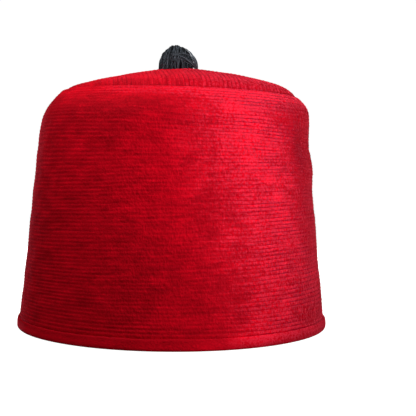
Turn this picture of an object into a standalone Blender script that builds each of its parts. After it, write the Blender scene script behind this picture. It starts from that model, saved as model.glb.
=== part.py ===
"""Fez hat of red quilted velvet with a black tassel: hollow, open below, standing on its rim.

Metres, +Z up.  The origin is on the rim's axis at the level of the rim.
The front faces -Y, and the tassel falls down the back, at +Y.
"""

import math

import bmesh
import bpy
from mathutils import Vector

# Whole hat
HAT_HEIGHT = 0.1620            # rim to the crest of the domed top, without the tassel
SEGMENTS = 28                  # facets round the hat
CLEARANCE = 0.0003             # between pieces that are sewn to each other

# Side wall, measured on its outer face
RIM_RADIUS = 0.0960
SHOULDER_RADIUS = 0.0846
SHOULDER_HEIGHT = 0.1250       # where the straight taper ends and the shoulder starts
SEAM_RADIUS = 0.0751           # the seam between the side and the top
SEAM_HEIGHT = 0.1438
WALL_THICKNESS = 0.0027

# Stitched rows round the side: ridges between lines of stitching
SIDE_ROWS = 64
ROW_DEPTH = 0.0005
FIRST_ROW_HEIGHT = 0.0071
INNER_STEPS = 6                # facets up the plain inner face
INNER_SHOULDER_STEPS = 3
INNER_END = 0.0051             # the inner face leaves the shoulder this far before the seam

# Seam allowance, the wall's top edge turned in below the rim of the top
LIP_HEIGHT = 0.0003            # how far the rolled edge stands above the seam
LIP_WIDTH = 0.0004
GROOVE_DEPTH = 0.0028
LEDGE_INNER_RADIUS = 0.0675
LEDGE_RISE = 0.0014
LEDGE_THICKNESS = 0.0016

# Top: a low dome with a padded edge, stitched in parallel rows from front to back
TOP_RADIUS = 0.0736
TOP_THICKNESS = 0.0024
TOP_EDGE_RISE = 0.0037         # height of the padded edge above the seam
TOP_EDGE_POWER = 30            # the higher, the tighter the edge is rounded
TOP_DOME_POWER = 1.5           # 2 would be a ball's cap, 1 a cone
TOP_ROWS = 60
TOP_ROW_DEPTH = 0.00045
TOP_ROW_STATIONS = (-1.0, -0.965, -0.86, -0.5, 0.0, 0.5, 0.86, 0.965, 1.0)
TOP_ROWS_TURN = math.radians(5.5)
END_ROW_SHARE = 0.55           # the outermost row is an arc of the rim, this much of its neighbour
UNDERSIDE_RADII = (0.0735, 0.0690, 0.0470, 0.0230)

# Hem band, a channel of velvet that binds the lower edge of the wall
HEM_HEIGHT = 0.0066
HEM_INNER_HEIGHT = 0.0090
HEM_PROUD = 0.0008             # how far it stands out from the wall's outer face
HEM_THICKNESS = 0.0010
HEM_FLOOR = 0.0014
HEM_ROUND = 0.0005             # size of its softened corners

# Tassel
TASSEL_POINTS = 24             # round each section: twelve locks and the furrows between them
TASSEL_SECTIONS = 18
TASSEL_OFFSET = -0.0020        # from the middle of the top, along X
FURROW_AT_HEAD = 0.08          # depth of the furrows, as a share of the section's half size
FURROW_AT_TIP = 0.26
LOCK_REACH = 0.0085            # how far the tips of the locks hang below the furrows
HEAD_TAPER = 0.34              # how far the outer side of the folded head narrows
HEAD_ROW = 3                   # the row of the route at the crest of the head

# The cloth has settled: it leans to +X, most of all over the shoulder
LEAN = 0.0073                  # along X, for each metre of height
SHOULDER_LEAN = 0.0041
SHOULDER_LEAN_START = 0.1120
FRONT_DIP = 0.019              # the seam is lower in front by this much of its distance along Y
TOP_SETTLE_POWER = 9           # the top follows the seam only near its edge

# The rows run level at the rim and slope down to +X by this much at each height
ROW_SLOPES = (
    # height, slope
    (0.0090, 0.000),
    (0.0450, -0.036),
    (0.0900, -0.027),
    (0.1250, 0.048),
    (0.1438, 0.032),
)

# Soft hollows of the flanks.  Angles are counted from +X towards +Y, so the front is at -90.
# A negative depth is a fullness.
SOFT_HOLLOWS = (
    # angle, height, half_angle, half_height, depth
    (-9.0, 0.126, 22.0, 0.009, 0.0005),
    (-9.0, 0.098, 24.0, 0.010, -0.0009),
    (-9.0, 0.077, 26.0, 0.011, 0.0006),
    (-9.0, 0.042, 30.0, 0.014, 0.0006),
    (-171.0, 0.115, 26.0, 0.014, 0.0006),
)

# The tassel folds back over its head, lies on the top and hangs down the back.
# heading is the strands' direction in degrees: 90 rises, 0 runs to the back, -90 falls.
TASSEL_ROUTE = (
    # y, z, heading, half_width, half_thickness
    (-0.0019, 0.1624, 90.0, 0.0115, 0.0061),
    (-0.0013, 0.1661, 62.0, 0.0112, 0.0066),
    (0.0012, 0.1692, 30.0, 0.0104, 0.0070),
    (0.0052, 0.1703, 0.0, 0.0097, 0.0072),
    (0.0106, 0.1692, -22.0, 0.0098, 0.0067),
    (0.0175, 0.1667, -20.0, 0.0104, 0.0058),
    (0.0300, 0.1638, -12.0, 0.0112, 0.0049),
    (0.0480, 0.1596, -14.0, 0.0118, 0.0046),
    (0.0640, 0.1555, -20.0, 0.0121, 0.0045),
    (0.0736, 0.1513, -33.0, 0.0122, 0.0044),
    (0.0788, 0.1473, -48.0, 0.0123, 0.0043),
    (0.0852, 0.1391, -61.0, 0.0124, 0.0043),
    (0.0886, 0.1290, -78.0, 0.0125, 0.0043),
    (0.0916, 0.1000, -85.0, 0.0130, 0.0044),
    (0.0936, 0.0800, -85.0, 0.0134, 0.0044),
    (0.0945, 0.0680, -85.0, 0.0132, 0.0040),
)

TAPER = (RIM_RADIUS - SHOULDER_RADIUS) / SHOULDER_HEIGHT
DOME_RISE = HAT_HEIGHT - SEAM_HEIGHT - TOP_EDGE_RISE


def wall_radius(height):
    """Outer radius of the straight part of the side."""
    return RIM_RADIUS - TAPER * height


def top_height(radius):
    """Height of the top's outer face at a distance from the axis, before the cloth settles."""
    share = radius / TOP_RADIUS
    edge = TOP_EDGE_RISE * (1 - share ** TOP_EDGE_POWER)
    return SEAM_HEIGHT + edge + DOME_RISE * (1 - share ** TOP_DOME_POWER)


def smooth(share):
    """Ease from 0 to 1 without a corner at either end."""
    share = min(max(share, 0.0), 1.0)
    return share * share * (3 - 2 * share)


def row_slope(height):
    """Slope of the rows along X at a height, eased between the rows of the table."""
    slope = ROW_SLOPES[0][1]
    for (low, before), (high, after) in zip(ROW_SLOPES, ROW_SLOPES[1:]):
        slope += (after - before) * smooth((height - low) / (high - low))
    return slope


def hollow_depth(angle, height):
    """How far the soft hollows press the cloth in towards the axis."""
    depth = 0.0
    for centre, level, half_angle, half_height, deepest in SOFT_HOLLOWS:
        turn = math.remainder(angle - math.radians(centre), math.tau) / math.radians(half_angle)
        rise = (height - level) / half_height
        depth += deepest * math.exp(-turn * turn - rise * rise)
    return depth


def settle(point):
    """Where a point of the true turned shape lies in the soft, settled hat."""
    x, y, z = point
    radius = math.hypot(x, y)
    held = min(radius / SEAM_RADIUS, 1.0) ** TOP_SETTLE_POWER
    over_shoulder = smooth((z - SHOULDER_LEAN_START) / (SEAM_HEIGHT - SHOULDER_LEAN_START))
    pressed = 1.0
    if radius > 0:
        pressed -= held * hollow_depth(math.atan2(y, x), z) / radius
    drop = held * (row_slope(z) * x - FRONT_DIP * over_shoulder * y)
    return Vector((x * pressed + LEAN * z + SHOULDER_LEAN * over_shoulder, y * pressed, z - drop))


class SideCurve:
    """The side's outer outline: a straight taper, then an arc over the shoulder to the seam."""

    def __init__(self):
        self.lean = math.atan(TAPER)
        rise = SEAM_HEIGHT - SHOULDER_HEIGHT
        inset = SHOULDER_RADIUS - SEAM_RADIUS
        half_turn = math.atan2(inset, rise) - self.lean
        self.arc_radius = math.hypot(rise, inset) / (2 * math.sin(half_turn))
        self.first_row = FIRST_ROW_HEIGHT / math.cos(self.lean)
        self.shoulder = SHOULDER_HEIGHT / math.cos(self.lean)
        self.seam = self.shoulder + self.arc_radius * 2 * half_turn

    def inside(self, distance, depth):
        """Radius and height of the point a depth below the outer face, a distance up from the rim."""
        if distance <= self.shoulder:
            lean = self.lean
            height = distance * math.cos(lean)
            radius = wall_radius(height)
        else:
            lean = self.lean + (distance - self.shoulder) / self.arc_radius
            radius = SHOULDER_RADIUS - self.arc_radius * (math.cos(self.lean) - math.cos(lean))
            height = SHOULDER_HEIGHT + self.arc_radius * (math.sin(lean) - math.sin(self.lean))
        return radius - depth * math.cos(lean), height - depth * math.sin(lean)


def turned_body(bm, outline):
    """Spin a closed outline of (radius, height) points once round the axis."""
    points = [bm.verts.new((radius, 0.0, height)) for radius, height in outline]
    edges = [bm.edges.new((point, points[index - 1])) for index, point in enumerate(points)]
    bmesh.ops.spin(bm, geom=points + edges, cent=(0, 0, 0), axis=(0, 0, 1), dvec=(0, 0, 0),
                   angle=math.tau, steps=SEGMENTS, use_merge=True, use_duplicate=False)


def finish(bm, name, colour, roughness, smooth_angle):
    """Settle the shape and make the named object from it, faces out, with its own material."""
    for point in bm.verts:
        point.co = settle(point.co)
    bmesh.ops.recalc_face_normals(bm, faces=bm.faces[:])
    mesh = bpy.data.meshes.new(name)
    bm.to_mesh(mesh)
    bm.free()
    mesh.shade_smooth()
    mesh.set_sharp_from_angle(angle=math.radians(smooth_angle))
    material = bpy.data.materials.new(name + "_finish")
    material.use_nodes = True
    shader = material.node_tree.nodes["Principled BSDF"]
    shader.inputs["Base Color"].default_value = (*colour, 1.0)
    shader.inputs["Roughness"].default_value = roughness
    shader.inputs["Metallic"].default_value = 0.0
    mesh.materials.append(material)
    part = bpy.data.objects.new(name, mesh)
    bpy.context.scene.collection.objects.link(part)


def side_outline():
    """Section of the side: foot, stitched rows, shoulder, turned-in edge and plain inner face."""
    curve = SideCurve()
    foot_inset = CLEARANCE + HEM_THICKNESS - HEM_PROUD
    foot_height = HEM_FLOOR + CLEARANCE
    outline = [(wall_radius(foot_height) - foot_inset, foot_height)]
    half_row = (curve.seam - curve.first_row) / (2 * SIDE_ROWS)
    for step in range(2 * SIDE_ROWS):
        depth = ROW_DEPTH if step % 2 == 0 else 0.0
        outline.append(curve.inside(curve.first_row + step * half_row, depth))
    groove_radius = TOP_RADIUS / math.cos(math.pi / SEGMENTS) + CLEARANCE
    groove_height = SEAM_HEIGHT - GROOVE_DEPTH
    ledge_height = groove_height + LEDGE_RISE
    outline += [
        (SEAM_RADIUS, SEAM_HEIGHT),
        (SEAM_RADIUS - LIP_WIDTH, SEAM_HEIGHT + LIP_HEIGHT),
        (groove_radius, SEAM_HEIGHT - LIP_HEIGHT),
        (groove_radius, groove_height),
        (LEDGE_INNER_RADIUS, ledge_height),
        (LEDGE_INNER_RADIUS, ledge_height - LEDGE_THICKNESS),
    ]
    inner_top = curve.seam - INNER_END
    for step in range(INNER_SHOULDER_STEPS):
        distance = inner_top - (inner_top - curve.shoulder) * step / INNER_SHOULDER_STEPS
        outline.append(curve.inside(distance, WALL_THICKNESS))
    for step in range(INNER_STEPS):
        distance = curve.shoulder * (1 - step / INNER_STEPS)
        outline.append(curve.inside(distance, WALL_THICKNESS))
    outline.append((wall_radius(foot_height) - WALL_THICKNESS, foot_height))
    return outline


def build_side():
    bm = bmesh.new()
    turned_body(bm, side_outline())
    finish(bm, "crown_wall", (0.565, 0.008, 0.020), 0.75, 60)


def by_angle(point):
    return math.atan2(point.co.y, point.co.x) % math.tau


def join_rim(bm, rim, ring):
    """Join the many points of the rim to a coarser ring, each to the ring's nearest in angle."""
    step_angle = math.tau / len(ring)
    nearest = [round(by_angle(point) / step_angle) % len(ring) for point in rim]
    for index, point in enumerate(rim):
        start = ring[nearest[index - 1]]
        end = ring[nearest[index]]
        bm.faces.new((rim[index - 1], point, start))
        if start is not end:
            bm.faces.new((start, point, end))


def build_top():
    """Domed disc: a grid whose lines are the ridges and furrows of the rows, and a plain underside."""
    bm = bmesh.new()
    lines = 2 * TOP_ROWS
    stations = len(TOP_ROW_STATIONS) - 1
    bmesh.ops.create_grid(bm, x_segments=lines, y_segments=stations, size=1.0)
    neighbour_half = math.sqrt(TOP_RADIUS ** 2 - (TOP_RADIUS * (1 - 1 / TOP_ROWS)) ** 2)
    rim = [point for point in bm.verts if point.is_boundary]
    for point in bm.verts:
        line = round((point.co.x + 1) / 2 * lines)
        station = TOP_ROW_STATIONS[round((point.co.y + 1) / 2 * stations)]
        if line in (0, lines):
            y = station * neighbour_half * END_ROW_SHARE
            x = math.copysign(math.sqrt(TOP_RADIUS ** 2 - y ** 2), point.co.x)
        else:
            x = TOP_RADIUS * point.co.x
            y = station * math.sqrt(TOP_RADIUS ** 2 - x ** 2)
        depth = TOP_ROW_DEPTH if line % 2 == 0 else 0.0
        turned_x = x * math.cos(TOP_ROWS_TURN) - y * math.sin(TOP_ROWS_TURN)
        turned_y = x * math.sin(TOP_ROWS_TURN) + y * math.cos(TOP_ROWS_TURN)
        point.co = (turned_x, turned_y, top_height(math.hypot(x, y)) - depth)
    rim.sort(key=by_angle)
    rings = []
    for radius in UNDERSIDE_RADII:
        height = top_height(radius) - TOP_THICKNESS
        angles = [math.tau * step / SEGMENTS for step in range(SEGMENTS)]
        rings.append([bm.verts.new((radius * math.cos(angle), radius * math.sin(angle), height))
                      for angle in angles])
    join_rim(bm, rim, rings[0])
    for outer, inner in zip(rings, rings[1:]):
        for step in range(SEGMENTS):
            bm.faces.new((outer[step - 1], outer[step], inner[step], inner[step - 1]))
    middle = bm.verts.new((0.0, 0.0, HAT_HEIGHT - TOP_THICKNESS))
    for step in range(SEGMENTS):
        bm.faces.new((rings[-1][step - 1], rings[-1][step], middle))
    finish(bm, "crown_top", (0.565, 0.008, 0.020), 0.75, 60)


def build_hem():
    """Channel that wraps the wall's lower edge, flat below, where the hat stands on it."""
    outer = HEM_PROUD
    slot_outer = HEM_PROUD - HEM_THICKNESS
    slot_inner = -WALL_THICKNESS - CLEARANCE
    inner = slot_inner - HEM_THICKNESS
    section = (
        # out from the wall's outer face, height
        (outer - HEM_ROUND, HEM_HEIGHT),
        (outer, HEM_HEIGHT - HEM_ROUND),
        (outer, 2 * HEM_ROUND),
        (outer - HEM_ROUND, 0.0),
        (inner + HEM_ROUND, 0.0),
        (inner, 2 * HEM_ROUND),
        (inner, HEM_INNER_HEIGHT),
        (slot_inner, HEM_INNER_HEIGHT),
        (slot_inner, HEM_FLOOR),
        (slot_outer, HEM_FLOOR),
        (slot_outer, HEM_HEIGHT),
    )
    bm = bmesh.new()
    turned_body(bm, [(wall_radius(height) + out, height) for out, height in section])
    finish(bm, "hem_band", (0.480, 0.006, 0.016), 0.70, 50)


def between_rows(table, position):
    """Row of a table at a position counted in rows, on a smooth curve through its rows."""
    row = min(int(position), len(table) - 2)
    share = position - row
    around = [table[min(max(row + step, 0), len(table) - 1)] for step in (-1, 0, 1, 2)]
    return [b + share / 2 * (c - a + share * (2 * a - 5 * b + 4 * c - d
                                              + share * (3 * (b - c) + d - a)))
            for a, b, c, d in zip(*around)]


def tassel_ring(bm, position):
    """One section of the tassel across its strands, with a furrow between each two locks."""
    last = len(TASSEL_ROUTE) - 1
    y, z, heading, half_width, half_thickness = between_rows(TASSEL_ROUTE, position)
    heading = math.radians(heading)
    along = Vector((0.0, math.cos(heading), math.sin(heading)))
    outwards = Vector((0.0, -math.sin(heading), math.cos(heading)))
    furrow = FURROW_AT_HEAD + (FURROW_AT_TIP - FURROW_AT_HEAD) * position / last
    head_taper = HEAD_TAPER * max(0.0, 1 - abs(position - HEAD_ROW) / HEAD_ROW)
    reach = LOCK_REACH if position == last else 0.0
    ring = []
    for step in range(TASSEL_POINTS):
        angle = math.tau * step / TASSEL_POINTS
        on_lock = step % 2 == 0
        size = 1.0 if on_lock else 1.0 - furrow
        width = half_width * size * math.cos(angle)
        width *= 1 - head_taper * max(0.0, math.sin(angle))
        height = half_thickness * size * math.sin(angle)
        centre = Vector((TASSEL_OFFSET + width, y, z)) + along * (reach if on_lock else 0.0)
        ring.append(bm.verts.new(centre + outwards * height))
    return ring


def build_tassel():
    """Thick bundle of strands in locks, folded back at its head and split at its end."""
    bm = bmesh.new()
    last = len(TASSEL_ROUTE) - 1
    rings = [tassel_ring(bm, last * index / (TASSEL_SECTIONS - 1))
             for index in range(TASSEL_SECTIONS)]
    for ring, following in zip(rings, rings[1:]):
        for step in range(TASSEL_POINTS):
            bm.faces.new((ring[step - 1], ring[step], following[step], following[step - 1]))
    bm.faces.new(rings[0])
    furrows = [point.co for point in rings[-1][1::2]]
    middle = bm.verts.new(sum(furrows, Vector()) / len(furrows))
    for step in range(TASSEL_POINTS):
        bm.faces.new((rings[-1][step - 1], rings[-1][step], middle))
    finish(bm, "tassel", (0.012, 0.013, 0.018), 0.45, 70)


def main():
    for old in list(bpy.data.objects):
        bpy.data.objects.remove(old)
    build_side()
    build_top()
    build_hem()
    build_tassel()


main()
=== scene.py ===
import math
import random

import bmesh
import bpy
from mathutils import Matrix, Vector


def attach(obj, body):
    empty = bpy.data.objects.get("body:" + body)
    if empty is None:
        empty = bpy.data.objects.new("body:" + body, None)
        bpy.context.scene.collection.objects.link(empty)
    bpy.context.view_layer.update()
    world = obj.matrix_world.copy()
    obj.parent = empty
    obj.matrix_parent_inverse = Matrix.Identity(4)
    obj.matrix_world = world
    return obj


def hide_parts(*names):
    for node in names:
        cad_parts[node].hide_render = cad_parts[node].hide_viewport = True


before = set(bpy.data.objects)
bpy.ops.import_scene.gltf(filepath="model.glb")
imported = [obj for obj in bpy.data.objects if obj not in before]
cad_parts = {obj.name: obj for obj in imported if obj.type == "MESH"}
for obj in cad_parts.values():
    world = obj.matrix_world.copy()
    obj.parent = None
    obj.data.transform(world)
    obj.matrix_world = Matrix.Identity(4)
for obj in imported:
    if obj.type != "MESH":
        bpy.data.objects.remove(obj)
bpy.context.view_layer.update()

# Fez hat: its visible model, made piece by piece on the solids of the CAD model.
# Metres, +Z up, front at -Y.

# Whole hat: the sizes of the CAD model
HAT_HEIGHT = 0.1620
RIM_RADIUS = 0.0960
SHOULDER_RADIUS = 0.0846
SHOULDER_HEIGHT = 0.1250
SEAM_RADIUS = 0.0751
SEAM_HEIGHT = 0.1438
WALL_THICKNESS = 0.0027
TAPER = (RIM_RADIUS - SHOULDER_RADIUS) / SHOULDER_HEIGHT

# Stitched rows round the side
SIDE_SEGMENTS = 136
SIDE_ROWS = 66
FIRST_ROW_HEIGHT = 0.0071
RIDGE_FULLNESS = 0.00026       # how far the cloth puffs out between two lines of stitching
FURROW_DEPTH = 0.00018         # how far the stitching draws it in
LIP_HEIGHT = 0.0007
LIP_WIDTH = 0.0005
GROOVE_DEPTH = 0.0028
LEDGE_INNER_RADIUS = 0.0675
INNER_END = 0.0051             # the inner face ends this far down the cloth from the seam

# Top
TOP_RADIUS = 0.0736
TOP_THICKNESS = 0.0020
TOP_RIM_DEPTH = 0.0021         # how far the rim is turned down
TOP_EDGE_RISE = 0.0037
TOP_EDGE_POWER = 30
TOP_DOME_POWER = 1.5
TOP_ROWS = 60
TOP_STATIONS = 44
TOP_ROW_DEPTH = 0.0006
TOP_ROWS_TURN = math.radians(5.5)

# Hem band
HEM_SEGMENTS = 144
HEM_HEIGHT = 0.0066
HEM_INNER_HEIGHT = 0.0090
HEM_PROUD = 0.0010             # how far it stands out from the wall
HEM_THICKNESS = 0.0011
HEM_FLOOR = 0.0014             # how thick it is under the wall
CLEARANCE = 0.0003

# The cloth has settled, as in the CAD model
LEAN = 0.0073                  # to the right, for each metre up
SHOULDER_LEAN = 0.0041         # and this much more by the seam
SHOULDER_LEAN_START = 0.1120
FRONT_DIP = 0.019              # slope of the seam down to the front
TOP_SETTLE_POWER = 9
ROW_SLOPES = (
    # height, slope of the rows down to the right
    (0.0090, 0.000),
    (0.0450, -0.036),
    (0.0900, -0.027),
    (0.1250, 0.048),
    (0.1438, 0.032),
)
SOFT_HOLLOWS = (
    # angle from +X, height, half_angle, half_height, depth
    (-9.0, 0.126, 22.0, 0.009, 0.0005),
    (-9.0, 0.098, 24.0, 0.010, -0.0009),
    (-9.0, 0.077, 26.0, 0.011, 0.0006),
    (-9.0, 0.042, 30.0, 0.014, 0.0006),
    (-171.0, 0.115, 26.0, 0.014, 0.0006),
    (-2.0, 0.139, 40.0, 0.006, -0.0010),
)

# Nap of the velvet, with its painted highlight and its painted shade and painted light.  Bearings
# are in degrees from the front, positive to the right
# Patches of painted pink highlight, where the nap is stroked up
NAP_HIGHLIGHTS = (
    # bearing, half_width, strength
    (48.0, 52.0, 1.4),
    (-150.0, 40.0, 0.5),
)
NAP_HIGHLIGHT_LEAN = 160.0           # degrees to the left for each metre up from the level below
NAP_HIGHLIGHT_LEVEL = 0.090
# Patches of painted shade; those with a strength below 0 are painted light
PAINTED_SHADING_PATCHES = (
    # bearing, height, half_width, half_height, strength
    (-72.0, 0.0850, 14.0, 0.065, 0.90),
    (-60.0, 0.1260, 12.0, 0.009, 1.00),
    (-58.0, 0.1330, 8.0, 0.006, -0.45),
    (-52.0, 0.0600, 9.0, 0.040, 0.50),
    (-45.0, 0.1170, 25.0, 0.008, 0.30),
    (-37.0, 0.1070, 7.0, 0.008, -0.45),
    (-35.0, 0.1305, 42.0, 0.008, 0.95),
    (-30.0, 0.0110, 13.0, 0.009, 0.40),
    (-24.0, 0.0240, 10.0, 0.012, 0.30),
    (-8.0, 0.1180, 24.0, 0.020, 0.25),
    (4.0, 0.0350, 26.0, 0.028, 0.65),
    (10.0, 0.0095, 14.0, 0.003, 0.50),
    (13.0, 0.0780, 13.0, 0.013, 0.70),
    (14.0, 0.0250, 6.0, 0.015, 0.30),
    (14.0, 0.1190, 8.0, 0.010, 0.40),
    (20.0, 0.1340, 10.0, 0.006, -0.60),
    (25.0, 0.1190, 8.0, 0.012, -0.90),
    (30.0, 0.0110, 13.0, 0.014, -0.60),
    (43.0, 0.1180, 6.0, 0.008, -0.35),
    (48.0, 0.1290, 13.0, 0.008, 1.00),
    (52.0, 0.0370, 5.0, 0.010, 0.35),
    (56.0, 0.1130, 9.0, 0.021, 1.40),
    (58.0, 0.0120, 14.0, 0.012, 0.85),
    (59.0, 0.0600, 9.0, 0.075, 0.85),
    (59.0, 0.1000, 7.0, 0.035, 0.45),
    (62.0, 0.1070, 9.0, 0.016, 0.55),
    (63.0, 0.0320, 8.0, 0.022, -0.80),
    (75.0, 0.0850, 13.0, 0.070, 1.50),
)
# bearing, then the degrees from it within which the share is whole, and beyond which it is none
CALM_CLOTH = (-62.0, 16.0, 48.0)
WORN_FRONT = (-3.0, 14.0, 42.0)
WORN_TOP = (-66.0, 22.4, 36.4)
HIGHLIGHT_STRIP = (5.0, 27.0, 72.0)
WORN_SHOULDER_START = 0.126
WORN_SHOULDER_END = 0.136

# Tassel
TASSEL_OFFSET = -0.0020        # its middle along X
LOCKS = 12
STRANDS_IN_LOCK = 36
ARCHED_STRANDS = 14
LOOSE_STRANDS = 10
LOCK_REACH = 0.0085            # how far the strands in the middle of a lock hang past the route
STRAND_RADIUS = 0.00031
STRAND_FOOT = -0.0014          # strands start this far under the cloth
CORE_SIZES = (0.22, 0.60)      # where the thick strands in the middle lie
CORE_THICKNESS = 9.0           # times a strand's
CORE_REACH = -0.004            # they end this far short of the route's end
HEAD_TAPER = 0.28              # the folded head is this much narrower at its peak
HEAD_LEAN = 0.0030             # and leans to the left by this times the taper
HEAD_ROW = 3                   # row of the route where it peaks
TASSEL_ROUTE = (
    # y, z, heading, half_width, half_thickness
    (-0.0019, 0.1624, 90.0, 0.0115, 0.0061),
    (-0.0013, 0.1661, 62.0, 0.0112, 0.0066),
    (0.0012, 0.1692, 30.0, 0.0104, 0.0070),
    (0.0052, 0.1703, 0.0, 0.0097, 0.0072),
    (0.0106, 0.1692, -22.0, 0.0098, 0.0067),
    (0.0175, 0.1667, -20.0, 0.0104, 0.0058),
    (0.0300, 0.1638, -12.0, 0.0112, 0.0049),
    (0.0480, 0.1596, -14.0, 0.0118, 0.0046),
    (0.0640, 0.1555, -20.0, 0.0121, 0.0045),
    (0.0736, 0.1513, -33.0, 0.0122, 0.0044),
    (0.0788, 0.1473, -48.0, 0.0123, 0.0043),
    (0.0852, 0.1391, -61.0, 0.0124, 0.0043),
    (0.0886, 0.1290, -78.0, 0.0125, 0.0043),
    (0.0916, 0.1000, -85.0, 0.0130, 0.0044),
    (0.0936, 0.0800, -85.0, 0.0134, 0.0044),
    (0.0945, 0.0680, -85.0, 0.0132, 0.0040),
)
# Where each strand has its points, in rows of the route: closer together round the fold
STOPS = [step * 0.25 for step in range(25)] + [6.5 + step * 0.5 for step in range(18)]


# ---------------------------------------------------------------- modelling

SMOOTH_ANGLE = math.radians(60)    # faces that meet at more than this keep a hard edge


def bare_hands():
    """Leave everything unselected, so that the next operator works on its own piece alone."""
    if bpy.context.object and bpy.context.object.mode != "OBJECT":
        bpy.ops.object.mode_set(mode="OBJECT")
    bpy.ops.object.select_all(action="DESELECT")


def named(name):
    """Name the piece that was just added, and open it for editing with all of it selected."""
    piece = bpy.context.object
    piece.name = name
    piece.data.name = name
    bpy.ops.object.mode_set(mode="EDIT")
    bpy.ops.mesh.select_mode(type="VERT")
    bpy.ops.mesh.select_all(action="SELECT")
    return piece


def pick(piece, wanted):
    """Select, in edit mode, the points that are wanted, and what lies between them."""
    mesh = bmesh.from_edit_mesh(piece.data)
    mesh.verts.index_update()
    for point in mesh.verts:
        point.select_set(wanted(point))
    mesh.select_flush_mode()
    bmesh.update_edit_mesh(piece.data)


def draw_rings(name, outline, segments):
    """Draw a turned piece up from its first ring: extrude, then resize, once for each next ring."""
    bare_hands()
    radius, height = outline[0]
    bpy.ops.mesh.primitive_circle_add(vertices=segments, radius=radius, location=(0, 0, height))
    piece = named(name)
    for next_radius, next_height in outline[1:]:
        rise = (0, 0, next_height - height)
        bpy.ops.mesh.extrude_region_move(TRANSFORM_OT_translate={"value": rise})
        ratio = next_radius / radius
        bpy.ops.transform.resize(value=(ratio, ratio, 1), center_override=(0, 0, next_height))
        radius, height = next_radius, next_height
    return piece


def close_rings(piece, segments, rings):
    """Bridge the last ring to the first, and turn the faces of the closed piece out."""
    pick(piece, lambda point: point.index // segments in (0, rings - 1))
    bpy.ops.mesh.bridge_edge_loops()
    bpy.ops.mesh.select_all(action="SELECT")
    bpy.ops.mesh.normals_make_consistent(inside=False)


def put_down():
    """Leave edit mode, and put the place of the piece into its mesh."""
    bpy.ops.object.mode_set(mode="OBJECT")
    bpy.ops.object.transform_apply(location=True, rotation=True, scale=True)


def modify(piece, kind, **settings):
    """Add a modifier, set it and apply it."""
    bpy.context.view_layer.objects.active = piece
    bpy.ops.object.modifier_add(type=kind)
    modifier = piece.modifiers[-1]
    for name, value in settings.items():
        setattr(modifier, name, value)
    bpy.ops.object.modifier_apply(modifier=modifier.name)


def paint_weights(piece, name, weight):
    """Give each point a weight by its place, for a modifier to follow."""
    group = piece.vertex_groups.new(name=name)
    for point in piece.data.vertices:
        group.add([point.index], min(max(weight(point.co), 0.0), 1.0), "REPLACE")
    return name


def slack(name, size):
    """Soft random lumps of about one size, for a Displace modifier."""
    texture = bpy.data.textures.new(name, "CLOUDS")
    texture.noise_scale = size
    texture.noise_depth = 1
    return texture


def ramp(value, start, end):
    """Share that goes softly from 0 at the start to 1 at the end."""
    share = min(max((value - start) / (end - start), 0.0), 1.0)
    return share * share * (3 - 2 * share)


def around(bearing, centre, whole, none):
    """Share that is 1 within some degrees of a centre, and softly goes to 0 further out."""
    return ramp(abs(math.remainder(bearing - centre, 360)), none, whole)


def patch(bearing, height, centre, level, half_width, half_height):
    """Share that is 1 in the middle of a round patch, and fades outwards."""
    turn = math.remainder(bearing - centre, 360) / half_width
    rise = (height - level) / half_height
    return math.exp(-turn * turn - rise * rise)


def bearing_of(point):
    """Bearing of a point from the front in degrees, positive to the right."""
    return math.degrees(math.atan2(point.x, -point.y))


def wall_radius(height):
    """Radius of the wall's outer face at a height below the shoulder."""
    return RIM_RADIUS - TAPER * height


def top_height(radius):
    """Height of the domed top at a distance from its middle."""
    share = radius / TOP_RADIUS
    dome_rise = HAT_HEIGHT - SEAM_HEIGHT - TOP_EDGE_RISE
    edge = TOP_EDGE_RISE * (1 - share ** TOP_EDGE_POWER)
    return SEAM_HEIGHT + edge + dome_rise * (1 - share ** TOP_DOME_POWER)


def row_slope(height):
    """How steeply the rows fall to the right at a height."""
    slope = ROW_SLOPES[0][1]
    for (low, before), (high, after) in zip(ROW_SLOPES, ROW_SLOPES[1:]):
        slope += (after - before) * ramp(height, low, high)
    return slope


def hollow_depth(angle, height):
    """How far the soft hollows press the cloth in at an angle from +X and a height."""
    return sum(deepest * patch(angle, height, centre, level, half_angle, half_height)
               for centre, level, half_angle, half_height, deepest in SOFT_HOLLOWS)


def settled(point):
    """Where a point of the true shape lies in the settled hat: the same lean, slopes and soft
    hollows as the CAD model's, so that every piece stays on its node."""
    x, y, z = point
    radius = math.hypot(x, y)
    held = min(radius / SEAM_RADIUS, 1.0) ** TOP_SETTLE_POWER
    over_shoulder = ramp(z, SHOULDER_LEAN_START, SEAM_HEIGHT)
    pressed = 1.0
    if radius > 0:
        pressed -= held * hollow_depth(math.degrees(math.atan2(y, x)), z) / radius
    drop = held * (row_slope(z) * x - FRONT_DIP * over_shoulder * y)
    return Vector((x * pressed + LEAN * z + SHOULDER_LEAN * over_shoulder, y * pressed, z - drop))


def nap_highlight_share(point):
    """How far the nap has been stroked up at a point, which gathers the cloth, and how much painted
    pink highlight it has there: most on the right of the front, least where the cloth has stayed
    calm, and again in a painted highlight strip below the seam, which is broader on the right."""
    straight = bearing_of(point)
    bearing = straight + NAP_HIGHLIGHT_LEAN * (point.z - NAP_HIGHLIGHT_LEVEL)
    nap_highlight = max(strength * around(bearing, centre, 0.0, half_width)
                  for centre, half_width, strength in NAP_HIGHLIGHTS)
    right = ramp(straight, 5.0, 25.0)
    strip_start = SEAM_HEIGHT - 0.0060 - 0.0080 * right
    strip_full = SEAM_HEIGHT - 0.0030 - 0.0050 * right
    strip_highlight = (0.3 + 0.7 * right) * around(straight, *HIGHLIGHT_STRIP)
    strip_highlight *= ramp(point.z, strip_start, strip_full)
    return nap_highlight - 0.4 * around(bearing, *CALM_CLOTH) + strip_highlight


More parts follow.
